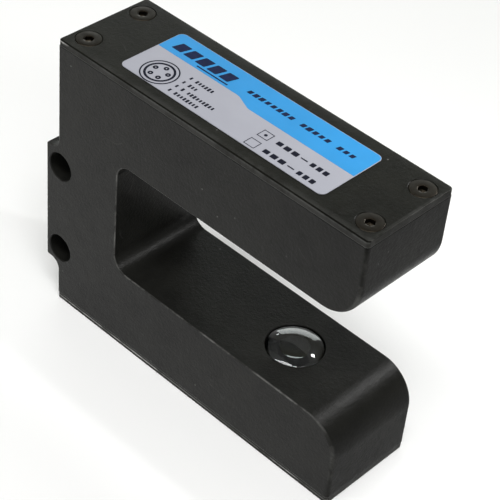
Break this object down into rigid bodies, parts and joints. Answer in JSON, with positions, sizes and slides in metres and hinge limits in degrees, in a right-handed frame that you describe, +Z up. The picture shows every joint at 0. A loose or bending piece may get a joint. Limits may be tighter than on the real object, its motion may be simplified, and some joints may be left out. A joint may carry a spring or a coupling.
{
  "type": "fork photoelectric sensor",
  "caption": "Fork-shaped photoelectric edge sensor: a beam between lenses in two arms across an open gap, with screwed covers, a mounting lug and a round panel connector.",
  "frame": {"origin": "middle of the base, on the underside of the bottom cover", "axes": "+X along the arms from the spine to the open mouth of the gap, +Z up along the beam, Y across the thickness of the fork"},
  "size_m": [0.0952, 0.0254, 0.0738],
  "materials": {
    "body_paint": "fine-textured satin black paint on aluminium, light wear on the edges",
    "cover_paint": "smooth satin black paint on an aluminium plate, light wear on the edges",
    "gasket_rubber": "matt black rubber",
    "screw_steel": "dark burnished steel with a faint bronze tint",
    "label_film": "silver-grey printed film with a sky-blue band",
    "lens_glass": "clear polished glass",
    "tube_plastic": "matt black moulded plastic",
    "led_epoxy": "water-clear epoxy with a blue cast",
    "photodiode_epoxy": "near-black infrared filter epoxy",
    "board_laminate": "green solder mask on glass-epoxy laminate",
    "bright_steel": "zinc-plated steel",
    "chip_plastic": "matt black moulding compound",
    "can_aluminium": "brushed aluminium can",
    "resistor_ceramic": "black-glazed ceramic chip",
    "header_nylon": "natural nylon",
    "trimmer_blue": "blue moulded plastic",
    "rotor_nylon": "white nylon",
    "connector_nickel": "satin nickel plating on brass",
    "insert_phenolic": "black phenolic moulding",
    "pin_gold": "gold-plated brass",
    "wire_red": "red PVC insulation",
    "wire_blue": "blue PVC insulation"
  },
  "bodies": {
    "sensor_body": {"housing": "body_paint", "top_cover": "cover_paint", "bottom_cover": "cover_paint", "top_cover_gasket": "gasket_rubber", "bottom_cover_gasket": "gasket_rubber", "top_cover_screws": "screw_steel", "bottom_cover_screws": "screw_steel", "label": "label_film", "emitter_lens": "lens_glass", "emitter_lens_seal": "gasket_rubber", "emitter_light_tube": "tube_plastic", "emitter_led": "led_epoxy", "emitter_board": "board_laminate", "emitter_board_screws": "bright_steel", "emitter_driver_chip": "chip_plastic", "emitter_capacitor": "can_aluminium", "emitter_resistors": "resistor_ceramic", "emitter_header": "header_nylon", "receiver_lens": "lens_glass", "receiver_lens_seal": "gasket_rubber", "receiver_light_tube": "tube_plastic", "receiver_photodiode": "photodiode_epoxy", "main_board": "board_laminate", "main_board_screws": "bright_steel", "amplifier_chip": "chip_plastic", "voltage_regulator": "chip_plastic", "filter_capacitors": "can_aluminium", "board_resistors": "resistor_ceramic", "main_headers": "header_nylon", "gain_trimmer_body": "trimmer_blue", "connector_shell": "connector_nickel", "connector_insert": "insert_phenolic", "connector_pins": "pin_gold", "connector_seal": "gasket_rubber", "connector_nut": "connector_nickel", "connector_wires": "wire_red", "link_wires": "wire_blue"},
    "gain_rotor": {"gain_trimmer_rotor": "rotor_nylon"}
  },
  "joints": [
    {"name": "gain_adjust", "type": "hinge", "parent": "sensor_body", "child": "gain_rotor", "pos_m": [0.00815, 0.005, 0.0695], "axis": [0, 0, 1], "range_deg": [-135, 135]}
  ]
}
